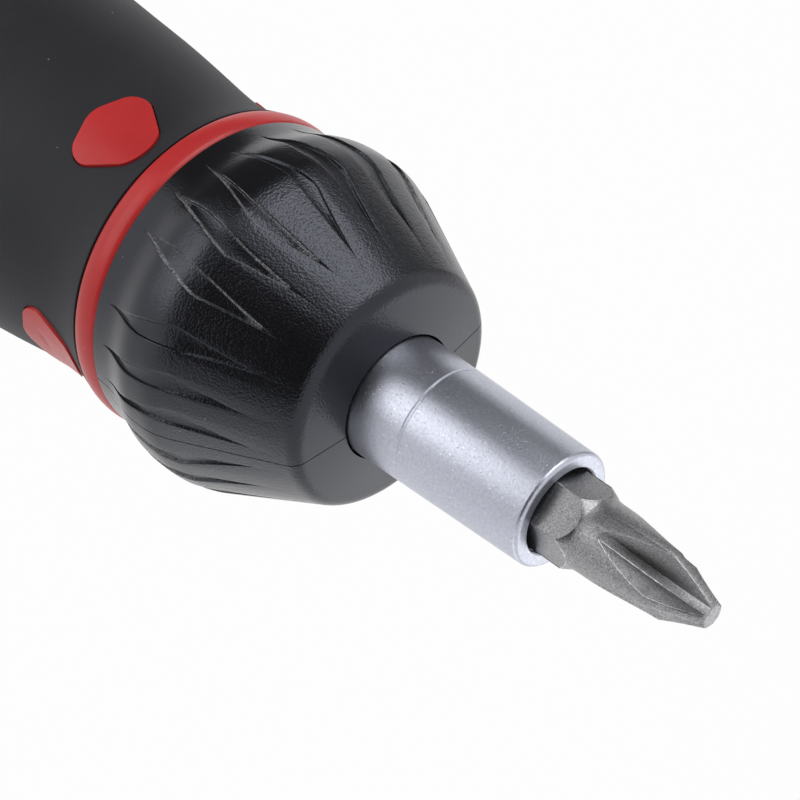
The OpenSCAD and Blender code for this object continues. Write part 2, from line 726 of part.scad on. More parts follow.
clip_open = 70;
module bit_clip() color([0.12, 0.12, 0.13]) {
    difference() {
        tube(clip_r + clip_wire / 2, socket_r + hex_clear / 4, clip_z - clip_wire / 2, clip_wire);
        at_angle(180) translate([-clip_r * sin(clip_open / 2), -clip_r * 2, clip_z - clip_wire])
            cube([2 * clip_r * sin(clip_open / 2), clip_r * 2, 2 * clip_wire]);
    }
}

// The bit: a hex, a hollow curve to the neck, a long cone and a fluted tip
blade_z = bit_tip_z - tip_len;
blend_steps = 4;
hex_flat_r = bit_af / 2;
tip_angle = atan2(blade_r - tip_r, tip_len);
tip_centre = [tip_r - tip_round, bit_tip_z - tip_round];
rear_chamfer = hex_r - hex_flat_r;
bit_line = concat(
    [[hex_flat_r, bit_z], [hex_r + hex_clear, bit_z + rear_chamfer + hex_clear],
        [hex_r, hex_end_z], [hex_flat_r, hex_end_z + hex_chamfer]],
    [for (k = [1 : blend_steps]) [neck_r + (hex_flat_r - neck_r) * pow(1 - k / blend_steps, 2),
        hex_end_z + hex_chamfer + neck_blend * k / blend_steps]],
    [[blade_r, blade_z]],
    arc_points(tip_centre, tip_round, tip_angle, 90, 3));
wheel_centre_r = flute_core + flute_wheel_r;
wheel_side = flute_floor + wheel_centre_r * tan(flute_angle) / 3;
wheel_rise = (wheel_side - flute_floor) / tan(flute_angle);
module screwdriver_bit() color([0.45, 0.44, 0.43]) {
    at_angle(hex_turn) difference() {
        intersection() {
            turned_solid(bit_line, 0);
            union() {
                at_angle(30) hex_rod(bit_af, bit_z, hex_end_z + hex_chamfer + neck_blend - bit_z);
                translate([0, 0, hex_end_z + hex_chamfer])
                    cylinder(r = hex_r, h = bit_tip_z - hex_end_z);
            }
        }
        for (a = [0 : 90 : 270]) at_angle(a + flute_turn)
            translate([0, -wheel_centre_r, bit_tip_z - flute_low]) rotate([0, 90, 0])
                rotate_extrude() polygon([[0, -wheel_side],
                    [flute_wheel_r - wheel_rise, -wheel_side],
                    [flute_wheel_r, -flute_floor], [flute_wheel_r, flute_floor],
                    [flute_wheel_r - wheel_rise, wheel_side], [0, wheel_side]]);
    }
}

handle_core();
end_cap();
soft_grip();
ratchet_housing();
housing_pins();
rear_bush();
front_bush();
cover_plate();
cover_screws();
pawl_pins();
pawl_springs();
detent_spring();
detent_ball();
collar_snap_ring();
rear_washer();
gear_washer();
front_washer();
selector_collar();
cam_ring();
pawl_right();
pawl_left();
bit_holder();
ratchet_gear();
gear_key();
spindle_circlip();
socket_magnet();
bit_clip();
screwdriver_bit();
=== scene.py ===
import math
import bpy
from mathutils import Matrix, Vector


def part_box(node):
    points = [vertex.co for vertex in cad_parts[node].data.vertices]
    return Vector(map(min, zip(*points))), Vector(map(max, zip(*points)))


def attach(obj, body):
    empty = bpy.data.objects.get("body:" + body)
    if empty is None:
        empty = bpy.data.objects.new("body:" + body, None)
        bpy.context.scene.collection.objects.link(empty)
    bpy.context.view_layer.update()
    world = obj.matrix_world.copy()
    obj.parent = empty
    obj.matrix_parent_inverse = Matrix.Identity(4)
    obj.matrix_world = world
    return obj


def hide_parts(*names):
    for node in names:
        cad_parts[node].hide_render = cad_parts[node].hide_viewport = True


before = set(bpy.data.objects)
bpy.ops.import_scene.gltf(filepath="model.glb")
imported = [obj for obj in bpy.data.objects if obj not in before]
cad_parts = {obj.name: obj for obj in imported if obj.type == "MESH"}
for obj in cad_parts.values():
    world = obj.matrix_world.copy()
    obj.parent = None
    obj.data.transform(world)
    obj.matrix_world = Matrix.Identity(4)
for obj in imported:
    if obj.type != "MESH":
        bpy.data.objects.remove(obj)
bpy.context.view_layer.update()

mm = 0.001
sides = 160  # sides of everything turned

# heights taken from the frame, from the butt to the bit's tip
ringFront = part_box("handle_core")[1].z
collarBack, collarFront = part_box("selector_collar")[0].z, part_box("selector_collar")[1].z
gripBack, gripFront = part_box("soft_grip")[0].z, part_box("soft_grip")[1].z
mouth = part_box("bit_holder")[1].z
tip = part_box("screwdriver_bit")[1].z


# small tools for working by hand
def clearSelection():
    if bpy.context.mode != "OBJECT":
        bpy.ops.object.mode_set(mode="OBJECT")
    bpy.ops.object.select_all(action="DESELECT")


def pick(piece):
    clearSelection()
    piece.select_set(True)
    bpy.context.view_layer.objects.active = piece
    return piece


def edit(piece):
    pick(piece)
    bpy.ops.object.mode_set(mode="EDIT")
    bpy.ops.mesh.select_all(action="SELECT")


def done():
    bpy.ops.object.mode_set(mode="OBJECT")


def settle(piece):  # the place goes into the mesh
    pick(piece)
    bpy.ops.object.transform_apply(location=True, rotation=True, scale=True)
    return piece


def modify(piece, kind, **values):
    pick(piece)
    modifier = piece.modifiers.new(kind.lower(), kind)
    for key, value in values.items():
        setattr(modifier, key, value)
    bpy.ops.object.modifier_apply(modifier=modifier.name)


def combine(piece, other, operation):
    modify(piece, "BOOLEAN", object=other, operation=operation, solver="EXACT")
    bpy.data.objects.remove(other)


def joined(pieces):
    pick(pieces[0])
    for piece in pieces[1:]:
        piece.select_set(True)
    bpy.ops.object.join()
    return pieces[0]


def copied(piece):
    pick(piece)
    bpy.ops.object.duplicate(linked=False)
    return bpy.context.active_object


def turned(piece, degrees):  # turns a piece round the tool's axis
    piece.rotation_euler.z = math.radians(degrees)
    return settle(piece)


def startDot(name, at):
    clearSelection()
    bpy.ops.mesh.primitive_plane_add(size=mm)
    piece = bpy.context.active_object
    piece.name = name
    edit(piece)
    bpy.ops.mesh.merge(type="CENTER")
    bpy.ops.transform.translate(value=at)
    return piece


def drawLine(name, points):  # one dot, extruded from point to point
    piece = startDot(name, points[0])
    for a, b in zip(points, points[1:]):
        bpy.ops.mesh.extrude_vertices_move(TRANSFORM_OT_translate={"value": Vector(b) - Vector(a)})
    return piece


def drawShape(name, points):  # a flat closed face
    piece = drawLine(name, points)
    bpy.ops.mesh.select_all(action="SELECT")
    bpy.ops.mesh.edge_face_add()
    return piece


def spin(name, outline, steps=sides):  # outline is (radius, height)
    piece = drawLine(name, [Vector((0, -r, z)) for r, z in outline])
    bpy.ops.mesh.select_all(action="SELECT")
    bpy.ops.mesh.spin(steps=steps, angle=math.radians(360), center=(0, 0, 0), axis=(0, 0, 1))
    bpy.ops.mesh.select_all(action="SELECT")
    bpy.ops.mesh.remove_doubles(threshold=0.0005 * mm)
    bpy.ops.mesh.dissolve_degenerate(threshold=0.0001 * mm)
    bpy.ops.mesh.select_all(action="SELECT")
    bpy.ops.mesh.normals_make_consistent(inside=False)
    done()
    return piece


def pushOut(name, points, along):
    piece = drawShape(name, points)
    bpy.ops.mesh.extrude_region_move(TRANSFORM_OT_translate={"value": along})
    bpy.ops.mesh.select_all(action="SELECT")
    bpy.ops.mesh.normals_make_consistent(inside=False)
    done()
    return piece


def hexBar(name, flats, low, high, degrees):  # degrees turns a corner away from +X
    clearSelection()
    bpy.ops.mesh.primitive_cylinder_add(
        vertices=6, radius=flats / math.sqrt(3), depth=high - low, location=(0, 0, (low + high) / 2))
    piece = bpy.context.active_object
    piece.name = name
    return turned(settle(piece), degrees + 30)


def smooth(piece, degrees=30):
    pick(piece)
    bpy.ops.object.shade_smooth_by_angle(angle=math.radians(degrees))


def arc(centre, radius, first, last, steps):
    return [(centre[0] + radius * math.cos(math.radians(a)), centre[1] + radius * math.sin(math.radians(a)))
            for a in [first + (last - first) * k / steps for k in range(steps + 1)]]


def curveThrough(points, steps):  # a smooth line through the points
    line = []
    for i in range(len(points) - 1):
        a, b = points[max(i - 1, 0)], points[i]
        c, d = points[i + 1], points[min(i + 2, len(points) - 1)]
        for k in range(steps):
            t = k / steps
            line.append(tuple(
                0.5 * (2 * b[j] + (c[j] - a[j]) * t + (2 * a[j] - 5 * b[j] + 4 * c[j] - d[j]) * t * t
                       + (3 * b[j] - a[j] - 3 * c[j] + d[j]) * t ** 3) for j in range(2)))
    return line + [points[-1]]


def radiusAt(line, height):
    for a, b in zip(line, line[1:]):
        if a[1] <= height <= b[1] and b[1] > a[1]:
            return a[0] + (b[0] - a[0]) * (height - a[1]) / (b[1] - a[1])
    return line[-1][0] if height > line[-1][1] else line[0][0]


def onAxis(line):  # closes an outline on the axis at both ends
    return [(0, line[0][1])] + list(line) + [(0, line[-1][1])]


def place(piece, body, slot, material, *nodes):
    piece.data.materials.clear()
    piece.data.materials.append(material)
    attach(piece, body)
    if nodes:
        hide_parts(*nodes)
    print("made", piece.name)


# shader tools
class Wiring:
    def __init__(self, tree):
        self.tree = tree

    def add(self, kind, inputs=None, **values):
        node = self.tree.nodes.new(kind)
        for key, value in values.items():
            setattr(node, key, value)
        for key, value in (inputs or {}).items():
            if isinstance(value, bpy.types.NodeSocket):
                self.tree.links.new(value, node.inputs[key])
            else:
                node.inputs[key].default_value = value
        return node

    def link(self, a, b):
        self.tree.links.new(a, b)

    def calc(self, operation, *values):
        return self.add("ShaderNodeMath", dict(enumerate(values)), operation=operation).outputs[0]

    def noise(self, at, scale, detail, **more):
        node = self.add("ShaderNodeTexNoise", {"Vector": at, "Scale": scale, "Detail": detail, **more})
        return node.outputs["Fac"]

    def cells(self, at, scale, **values):  # the whole node, since it has two outputs in use
        return self.add("ShaderNodeTexVoronoi", {"Vector": at, "Scale": scale}, **values)

    def remap(self, value, first, last, low=0.0, high=1.0):
        return self.add("ShaderNodeMapRange", {
            "Value": value, "From Min": first, "From Max": last, "To Min": low, "To Max": high}).outputs[0]

    def blend(self, share, a, b):  # colours, each a socket or a value
        node = self.add("ShaderNodeMix", {0: share, 6: a, 7: b}, data_type="RGBA")
        return node.outputs[2]


def makeGroup(name, inputs, output):
    group = bpy.data.node_groups.new(name, "ShaderNodeTree")
    for label, value in inputs.items():
        kind = "NodeSocketVector" if value is None else "NodeSocketFloat"
        socket = group.interface.new_socket(label, in_out="INPUT", socket_type=kind)
        if value is not None:
            socket.default_value = value
    group.interface.new_socket(output, in_out="OUTPUT", socket_type="NodeSocketFloat")
    wiring = Wiring(group)
    return group, wiring, wiring.add("NodeGroupInput"), wiring.add("NodeGroupOutput")


grainWarp = 0.0006  # how far noise shifts the grain's cells
turningStretch = (0.02, 0.02, 1.0)  # the lathe's rings are long round the axis and short along it


def makeGrain():  # leathery moulding grain: rounded cells with soft valleys
    group, wiring, start, end = makeGroup("mouldGrain", {"Place": None, "Size": 0.3, "Fine": 0.5}, "Height")
    at = start.outputs["Place"]
    scale = wiring.calc("DIVIDE", 1.0, start.outputs["Size"])
    warp = wiring.add("ShaderNodeTexNoise", {"Vector": at, "Scale": scale, "Detail": 2.0}).outputs["Color"]
    shift = wiring.add("ShaderNodeVectorMath", {0: warp, "Scale": grainWarp}, operation="SCALE").outputs[0]
    moved = wiring.add("ShaderNodeVectorMath", {0: at, 1: shift}).outputs[0]
    cells = wiring.cells(moved, scale, feature="SMOOTH_F1")
    fine = wiring.noise(at, scale, 4.0, Roughness=0.7)
    some = wiring.calc("MULTIPLY", fine, start.outputs["Fine"])
    wiring.link(wiring.calc("SUBTRACT", some, cells.outputs["Distance"]), end.inputs["Height"])
    return group


def makeBlast():  # sand blasted or satin metal: fine pits over a soft mottle
    group, wiring, start, end = makeGroup("satinPits", {"Place": None, "Size": 0.1, "Pits": 0.4}, "Height")
    at = start.outputs["Place"]
    scale = wiring.calc("DIVIDE", 1.0, start.outputs["Size"])
    mottle = wiring.noise(at, scale, 5.0, Roughness=0.65)
    pit = wiring.remap(wiring.cells(at, scale).outputs["Distance"], 0.05, 0.3)
    some = wiring.calc("MULTIPLY", pit, start.outputs["Pits"])
    wiring.link(wiring.calc("ADD", mottle, some), end.inputs["Height"])
    return group


def makeTurning():  # fine rings that a lathe leaves, along Z
    group, wiring, start, end = makeGroup("lathe", {"Place": None, "Pitch": 0.05}, "Height")
    scale = wiring.calc("DIVIDE", 1.0, start.outputs["Pitch"])
    flat = wiring.add("ShaderNodeVectorMath", {0: start.outputs["Place"], 1: turningStretch},
                      operation="MULTIPLY").outputs[0]
    wiring.link(wiring.noise(flat, scale, 3.0), end.inputs["Height"])
    return group


def makeSpecks():  # sparse small specks, a mask from 0 to 1: dust and tiny nicks on the plastics, pale specks on the bit, painted glints on the chrome
    group, wiring, start, end = makeGroup("specks", {"Place": None, "Spacing": 2.0, "Share": 0.06}, "Mask")
    scale = wiring.calc("DIVIDE", 1.0, start.outputs["Spacing"])
    cells = wiring.cells(start.outputs["Place"], scale)
    parts = wiring.add("ShaderNodeSeparateColor", {0: cells.outputs["Color"]})
    reach = wiring.calc("MULTIPLY", parts.outputs[0], start.outputs["Share"])
    wiring.link(wiring.calc("LESS_THAN", cells.outputs["Distance"], reach), end.inputs["Mask"])
    return group


groups = {"grain": makeGrain(), "blast": makeBlast(), "turning": makeTurning(), "specks": makeSpecks()}


def makeMaterial(name, kind, look):
    material = bpy.data.materials.new(name)
    material.use_nodes = True
    tree = material.node_tree
    tree.nodes.clear()
    wiring = Wiring(tree)
    space = wiring.add("ShaderNodeTexCoord").outputs["Object"]
    placeIn = wiring.add("ShaderNodeMapping", {"Vector": space, "Scale": (1 / mm, 1 / mm, 1 / mm)}).outputs[0]
    shader = wiring.add("ShaderNodeBsdfPrincipled", look["shader"])
    result = wiring.add("ShaderNodeOutputMaterial")
    wiring.link(shader.outputs[0], result.inputs["Surface"])

    tone = wiring.noise(placeIn, look["toneScale"], 3.0)
    share = wiring.remap(tone, 0.5 - look["spread"], 0.5 + look["spread"])
    colour = wiring.blend(share, (*look["dark"], 1), (*look["light"], 1))
    if "specks" in look:
        specks = wiring.add("ShaderNodeGroup", node_tree=groups["specks"])
        wiring.link(placeIn, specks.inputs["Place"])
        specks.inputs["Spacing"].default_value = look["specks"]["spacing"]
        specks.inputs["Share"].default_value = look["specks"]["share"]
        colour = wiring.blend(specks.outputs[0], colour, (*look["specks"]["colour"], 1))

    surface = wiring.add("ShaderNodeGroup", node_tree=groups[kind])
    wiring.link(placeIn, surface.inputs["Place"])
    for key, value in look["surface"].items():
        surface.inputs[key].default_value = value
    height = surface.outputs[0]
    roughness = wiring.remap(height, 0.0, 1.0, *look["rough"])
    if "fade" in look:  # the grain weakens towards the back and on the front face
        along = wiring.add("ShaderNodeSeparateXYZ", {0: space}).outputs[2]
        low, high, rim, front, least = look["fade"]
        rise = wiring.remap(along, low, high, least, 1.0)
        fall = wiring.remap(along, rim, front, 1.0, least)
        height = wiring.calc("MULTIPLY", height, wiring.calc("MINIMUM", rise, fall))
    if "mask" in look:  # faces that the mesh marks are coarser and paler, in patches; the paler colour is a painted highlight
        mask = look["mask"]
        marked = wiring.add("ShaderNodeAttribute", attribute_name=mask["name"], attribute_type="GEOMETRY")
        patches = wiring.remap(wiring.noise(placeIn, mask["grit"], 3.0), *mask["patches"])
        marked = wiring.calc("MULTIPLY", marked.outputs["Fac"], patches)
        roughness = wiring.calc("MULTIPLY_ADD", marked, mask["rough"], roughness)
        colour = wiring.blend(marked, colour, (*mask["colour"], 1))
    wiring.link(colour, shader.inputs["Base Color"])
    wiring.link(roughness, shader.inputs["Roughness"])
    strength, depth = look["bump"]
    bump = wiring.add("ShaderNodeBump", {"Height": height, "Strength": strength, "Distance": depth})
    wiring.link(bump.outputs[0], shader.inputs["Normal"])
    return material


patchRange = (0.4, 0.62, 0.15)  # where the noise starts and ends to count, and the mark between patches
redPlastic = makeMaterial("redPlastic", "grain", {
    "shader": {"Specular IOR Level": 0.38, "Coat Weight": 0.06, "Coat Roughness": 0.2},
    "dark": (0.53, 0.021, 0.022), "light": (0.60, 0.027, 0.028), "toneScale": 0.25, "spread": 0.3,
    "surface": {"Size": 0.5, "Fine": 0.4}, "rough": (0.36, 0.48), "bump": (0.12, 0.03 * mm),
    "specks": {"spacing": 2.5, "share": 0.03, "colour": (0.75, 0.35, 0.35)}})
softBlack = makeMaterial("softBlack", "grain", {
    "shader": {"Specular IOR Level": 0.35, "Specular Tint": (0.88, 0.9, 1, 1), "Sheen Weight": 0.04},
    "dark": (0.0135, 0.0135, 0.0155), "light": (0.019, 0.019, 0.0215), "toneScale": 0.2, "spread": 0.3,
    "surface": {"Size": 0.12, "Fine": 0.8}, "rough": (0.60, 0.75), "bump": (0.4, 0.02 * mm),
    "specks": {"spacing": 2.2, "share": 0.035, "colour": (0.30, 0.30, 0.32)}})
collarBlack = makeMaterial("collarBlack", "grain", {
    "shader": {"Specular IOR Level": 0.55, "Specular Tint": (0.82, 0.85, 1, 1)},
    "dark": (0.0048, 0.0048, 0.0056), "light": (0.0068, 0.0068, 0.0080), "toneScale": 0.3, "spread": 0.3,
    "surface": {"Size": 0.18, "Fine": 0.7}, "rough": (0.22, 0.38), "bump": (0.75, 0.04 * mm),
    "fade": (collarBack + 5 * mm, collarBack + 12 * mm, collarFront - 0.7 * mm, collarFront - 0.3 * mm, 0.35),
    # the cut walls' paler colour below is a painted highlight, their added roughness a coarser finish
    "mask": {"name": "cutWallHighlight", "grit": 7.0, "patches": patchRange, "rough": 0.25,
             "colour": (0.28, 0.28, 0.29)},
    "specks": {"spacing": 2.2, "share": 0.032, "colour": (0.5, 0.5, 0.52)}})
satinChrome = makeMaterial("satinChrome", "blast", {
    "shader": {"Metallic": 1.0},
    "dark": (0.43, 0.445, 0.52), "light": (0.55, 0.565, 0.645), "toneScale": 4.5, "spread": 0.22,
    "surface": {"Size": 0.17, "Pits": 0.5}, "rough": (0.17, 0.33), "bump": (0.7, 0.025 * mm),
    # the near white specks on the chrome are painted glints
    "specks": {"spacing": 0.45, "share": 0.13, "colour": (0.95, 0.96, 1.0)}})
bitSteel = makeMaterial("bitSteel", "blast", {
    "shader": {"Metallic": 1.0},
    "dark": (0.17, 0.17, 0.175), "light": (0.40, 0.40, 0.41), "toneScale": 8.0, "spread": 0.2,
    "surface": {"Size": 0.12, "Pits": 0.9}, "rough": (0.18, 0.36), "bump": (0.3, 0.03 * mm),
    # the paler colour of the bevelled edges is a painted highlight
    "mask": {"name": "edgeHighlight", "grit": 3.0, "patches": patchRange, "rough": 0.0, "colour": (0.55, 0.55, 0.57)},
    "specks": {"spacing": 0.35, "share": 0.12, "colour": (0.7, 0.7, 0.72)}})
innerLooks = {
    "housingSteel": ((0.36, 0.37, 0.39), (0.46, 0.47, 0.49), 1.0, "turning", {"Pitch": 0.12}),
    "springSteel": ((0.10, 0.11, 0.14), (0.18, 0.19, 0.23), 1.0, "blast", {"Size": 0.3, "Pits": 0.3}),
    "bronze": ((0.46, 0.29, 0.12), (0.58, 0.38, 0.17), 1.0, "blast", {"Size": 0.15, "Pits": 0.8}),
    "magnetNickel": ((0.30, 0.31, 0.32), (0.38, 0.39, 0.40), 1.0, "turning", {"Pitch": 0.2})}
inner = {name: makeMaterial(name, kind, {
    "shader": {"Metallic": metal}, "dark": dark, "light": light, "toneScale": 0.4, "spread": 0.3,
    "surface": surface, "rough": (0.28, 0.42), "bump": (0.2, 0.01 * mm)})
    for name, (dark, light, metal, kind, surface) in innerLooks.items()}
print("materials ready")

# the handle: grip outline, ring and pads
handle = {
    "ringRadius": 15.05 * mm, "ringWidth": 2.5 * mm, "ringBead": 0.25 * mm, "ringRound": 0.3 * mm,
    "bulb": 1.3 * mm, "bulbHeight": 13 * mm, "saddle": 0.5 * mm, "saddleHeight": 27 * mm,
    "belly": 2.29 * mm, "bellyHeight": 60 * mm, "waist": 1.0 * mm, "waistBack": 5.5 * mm,
    "gripSink": 0.3 * mm, "gripWall": 2.2 * mm, "flatDepth": 0.9 * mm, "flatTurn": -19,
    "gripSteps": 12, "edgeRound": 0.12 * mm, "skinShare": 0.5, "coreShare": 0.55, "crownSteps": 12}
ringBack = ringFront - handle["ringWidth"]
ringRadius, bellyRadius = handle["ringRadius"], handle["ringRadius"] + handle["belly"]
waistRadius = ringRadius - handle["waist"]
gripLine = curveThrough([
    (ringRadius + handle["bulb"] * 0.2, gripBack),
    (ringRadius + handle["bulb"], handle["bulbHeight"]),
    (ringRadius + handle["saddle"], handle["saddleHeight"]),
    (bellyRadius, handle["bellyHeight"]),
    ((bellyRadius + waistRadius) / 2,
     (handle["bellyHeight"] + ringBack - handle["waistBack"]) / 2 + handle["waistBack"]),
    (waistRadius, ringBack - handle["waistBack"]),
    (ringRadius - handle["gripSink"], gripFront)], handle["gripSteps"])

pad = {"proud": 0.2 * mm, "count": 4, "turn": -19.7, "gap": 1.65 * mm,
       "nose": 2.6 * mm, "corner": 1.75 * mm, "cornerSide": 2.25 * mm, "cornerBack": 4.9 * mm,
       "tail": 2.9 * mm, "tailBack": 4.45 * mm, "groove": 0.1 * mm, "edge": 0.2 * mm,
       "clear": 2 * mm, "thick": 2.5 * mm, "insets": (0.25, 0.3, 0.5, 0.6, 0.7),
       "windowIn": 0.6, "windowDeep": 0.8}  # the last two are shares of the waist's radius


def tangent(a, b, way):  # where a common tangent touches circles a and b, in degrees
    reach = math.hypot(b[0] - a[0], b[1] - a[1])
    return math.degrees(math.atan2(b[1] - a[1], b[0] - a[0]) + way * math.acos((a[2] - b[2]) / reach))


def padOutline(grow):
    nose = (0, -pad["nose"], pad["nose"] + grow)
    corner = (pad["cornerSide"], -pad["cornerBack"], pad["corner"] + grow)
    tail = (0, -pad["tailBack"], pad["tail"] + grow)
    front, back = tangent(nose, corner, 1), tangent(tail, corner, -1)
    half = (arc(tail[:2], tail[2], -90, back, 3) + arc(corner[:2], corner[2], back, front, 10)
            + arc(nose[:2], nose[2], front, 90, 9))
    whole = half + [(-x, z) for x, z in reversed(half[1:-1])]
    return [(x, ringBack - pad["gap"] + z) for x, z in whole]


def padPrism(grow, name):
    outline = [Vector((x, -waistRadius * pad["windowIn"], z)) for x, z in padOutline(grow)]
    return pushOut(name, outline, (0, -waistRadius * pad["windowDeep"], 0))


def makeGrip():
    inner = [(r - handle["gripWall"] * handle["skinShare"], z) for r, z in gripLine]
    rim = handle["edgeRound"]
    outer = list(gripLine)
    top = outer[-1]
    outer[-1] = (top[0], top[1] - rim)
    outer += [(top[0] - rim * 0.3, top[1] - rim * 0.3), (top[0] - rim, top[1])]
    grip = spin("softGrip", outer + list(reversed(inner)) + [outer[0]])
    limit = bellyRadius - handle["flatDepth"]
    for k in range(pad["count"]):  # four long flats, pressed in one at a time
        turned(grip, -(handle["flatTurn"] + 360 * k / pad["count"]))
        edit(grip)
        bpy.ops.mesh.select_all(action="DESELECT")
        done()
        for vertex in grip.data.vertices:
            vertex.select = vertex.co.y < -limit
        bpy.ops.object.mode_set(mode="EDIT")
        bpy.ops.transform.resize(value=(1, 0, 1), center_override=(0, -limit, 0))
        done()
        turned(grip, handle["flatTurn"] + 360 * k / pad["count"])
    for k in range(pad["count"]):
        window = turned(padPrism(pad["groove"], "window"), pad["turn"] + 360 * k / pad["count"])
        combine(grip, window, "DIFFERENCE")
    smooth(grip, 35)
    return grip


# hollows of the core: the butt's, the seat of the ratchet housing and its hex stub's
hollow = {"radius": 8.5 * mm, "top": 76 * mm, "seat": 12.75 * mm, "stub": 15 * mm, "stubLength": 20 * mm}


def makeRed():
    wide, steps = handle["ringWidth"], handle["crownSteps"]
    bead, rounding = handle["ringBead"], handle["ringRound"]
    crown = [(ringRadius - bead * (2 * k / steps - 1) ** 2, ringBack + wide * k / steps)
             for k in range(steps + 1)]
    crown[0] = (crown[0][0] - rounding * 0.4, crown[0][1])
    crown[-1] = (crown[-1][0] - rounding * 0.4, crown[-1][1])
    core = [(r - handle["gripWall"] * handle["coreShare"], z) for r, z in gripLine]
    back = [(core[-1][0], ringBack)]
    butt = [(hollow["radius"], hollow["top"]), (hollow["radius"], gripBack)]
    seat = [(hollow["seat"], ringFront), (hollow["seat"], ringBack)]
    body = spin("redCore", onAxis(butt + core + back + crown + seat))
    stubBack = ringBack - hollow["stubLength"]
    combine(body, hexBar("stubHole", hollow["stub"], stubBack, ringBack + mm, 0), "DIFFERENCE")
    skin = spin("padSkin", onAxis([(r + pad["proud"], z) for r, z in gripLine]))
    pieces = [body]
    master = drawShape("redPad", [Vector((x, -ringRadius - pad["clear"], z)) for x, z in padOutline(0)])
    for step in pad["insets"]:
        bpy.ops.mesh.inset(thickness=step * mm, use_even_offset=True)
    bpy.ops.mesh.select_all(action="SELECT")
    bpy.ops.mesh.quads_convert_to_tris()
    done()
    modify(master, "SHRINKWRAP", target=skin, wrap_method="PROJECT", use_project_y=True,
           use_positive_direction=True, use_negative_direction=False)
    edit(master)
    bpy.ops.mesh.extrude_region_move(TRANSFORM_OT_translate={"value": (0, pad["thick"], 0)})
    bpy.ops.mesh.select_all(action="SELECT")
    bpy.ops.mesh.normals_make_consistent(inside=False)
    done()
    modify(master, "BEVEL", width=pad["edge"], segments=4, limit_method="ANGLE", angle_limit=math.radians(50))
    for k in range(pad["count"]):
        piece = master if k == pad["count"] - 1 else copied(master)
        pieces.append(turned(piece, pad["turn"] + 360 * k / pad["count"]))
    bpy.data.objects.remove(skin)
    red = joined(pieces)
    smooth(red, 40)
    return red


def makeCap():
    cap = {"foot": 10.5 * mm, "height": 3.4 * mm, "ledge": 0.2 * mm, "plugTop": 9.4 * mm, "steps": 14}
    plug = hollow["radius"]
    wide = ringRadius + handle["bulb"] * 0.2 - handle["gripWall"] * 0.1
    dome = [(cap["foot"] + (wide - cap["foot"]) * math.sin(math.pi / 2 * k / cap["steps"]),
             cap["height"] * (1 - math.cos(math.pi / 2 * k / cap["steps"]))) for k in range(cap["steps"] + 1)]
    line = dome + [(wide - cap["ledge"], cap["height"]), (plug, cap["height"]), (plug, cap["plugTop"])]
    piece = spin("endCap", onAxis(line))
    smooth(piece, 35)
    return piece


place(makeGrip(), "handle", "soft_black", softBlack, "soft_grip")
place(makeRed(), "handle", "red_plastic", redPlastic, "handle_core")
place(makeCap(), "handle", "red_plastic", redPlastic, "end_cap")

# the selector collar
collar = {"backRadius": 14.9 * mm, "crown": 1.1 * mm, "crownAt": 6.6 * mm, "drop": 0.65 * mm,
          "shoulderAt": 3.25 * mm, "rim": 11.19 * mm, "rimRound": 1.8 * mm, "faceRise": 0.45 * mm,
          "hole": 5.75 * mm, "bore": 12.8 * mm, "boreTop": 118.2 * mm, "noseInside": 123.0 * mm,
          "seams": (60, 240), "seamWidth": 0.09 * mm, "seamDepth": 0.05 * mm}
leafCut = {"deep": 0.22 * mm, "shallow": 0.15 * mm, "wall": 0.26 * mm, "step": 0.12 * mm, "lip": 0.06 * mm,
           "ribs": 32, "thinShare": 0.12, "wideShare": 0.28, "endShare": 0.15, "runShare": 0.22}
crownRadius = collar["backRadius"] + collar["crown"]
shoulder = (crownRadius - collar["drop"], collarBack + collar["crownAt"] + collar["shoulderAt"])
face = collarFront - collar["faceRise"]
taper = math.degrees(math.atan2(shoulder[0] - collar["rim"], face - collar["rimRound"] - shoulder[1]))
collarLine = curveThrough([
    (collar["backRadius"], collarBack),
    (collar["backRadius"] + collar["crown"] * 0.2, collarBack + collar["crownAt"] * 0.35),
    (crownRadius - collar["crown"] * 0.12, collarBack + collar["crownAt"] * 0.72),
    (crownRadius, collarBack + collar["crownAt"]),
    (crownRadius - collar["drop"] * 0.2, collarBack + collar["crownAt"] + collar["shoulderAt"] * 0.5),
    shoulder], 6)
rimCentre = (collar["rim"] - collar["rimRound"], face - collar["rimRound"])
collarLine += arc(rimCentre, collar["rimRound"], taper, 82, 12)

# each leaf, from its rear to its front: degrees from a mirror plane and millimetres over the ring's back
leaves = [
    {"rear": (13, 4.0), "vertex": (5, 12.1), "front": (7.5, 19.0), "side": ((14, 8.7), (12, 13.1))},
    {"rear": (27.5, 4.0), "vertex": (20, 12.4), "front": (25, 18.9), "side": ((28, 8.5), (26, 13.4))},
    {"rear": (41, 4.0), "vertex": (32.5, 12.7), "front": (39.5, 19.1), "side": ((38, 11.0), (39, 16.3))}]
leafPlanes = (15, 105, 195, 285)


def alongPath(path, height):
    for a, b in zip(path, path[1:]):
        if a[1] <= height <= b[1]:
            return a[0] + (b[0] - a[0]) * (height - a[1]) / (b[1] - a[1])
    return path[-1][0]


def hump(t, first, peak, last):  # rises from first to 1 at the peak and falls to last
    t = (t - first) / (peak - first) if t < peak else (last - t) / (last - peak)
    t = min(max(t, 0), 1)
    return t * t * (3 - 2 * t)


